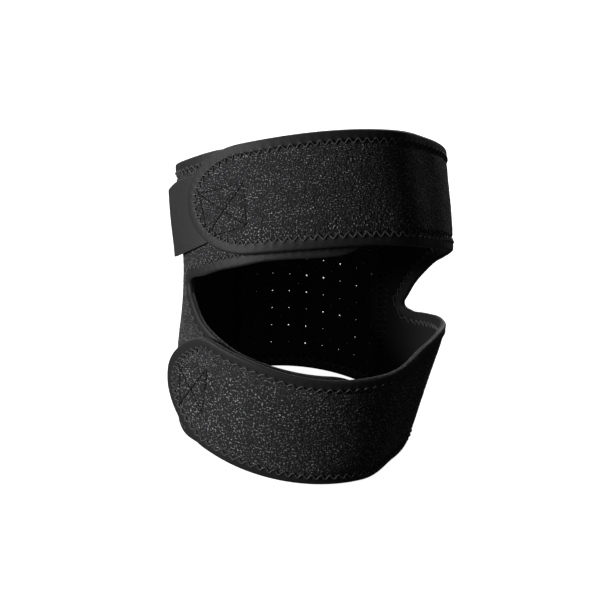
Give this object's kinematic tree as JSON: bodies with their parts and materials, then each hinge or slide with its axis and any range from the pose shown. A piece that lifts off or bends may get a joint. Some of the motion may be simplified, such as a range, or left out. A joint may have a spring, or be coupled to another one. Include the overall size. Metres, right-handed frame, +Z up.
{
  "type": "patella strap",
  "caption": "Wrap-round knee and patella strap of bound loop cloth, with a low strap under the kneecap, a high strap over it and a pierced panel behind the knee.",
  "frame": {"origin": "on the floor under the middle of the strap's bounding box, where its lower rim stands", "axes": "+Z up the leg, -Y towards the kneecap, +X towards the side with the notch between the two straps"},
  "size_m": [0.1304, 0.129, 0.1626],
  "materials": {
    "loop_cloth": "brushed loop pile",
    "edge_tape": "smooth stretch tape",
    "pierced_cloth": "smooth pierced neoprene",
    "seam_tape": "flat stitched seam",
    "hook_patch": "smooth backed hook"
  },
  "bodies": {
    "root": {"right_wing_straps": "loop_cloth", "left_wing": "loop_cloth", "back_panel": "pierced_cloth", "right_seam_strip": "seam_tape", "left_seam_strip": "seam_tape", "strap_binding": "edge_tape", "left_wing_binding": "edge_tape", "panel_lower_binding": "edge_tape", "panel_upper_binding": "edge_tape", "upper_hook_patch": "hook_patch", "lower_hook_patch": "hook_patch"}
  },
  "joints": []
}
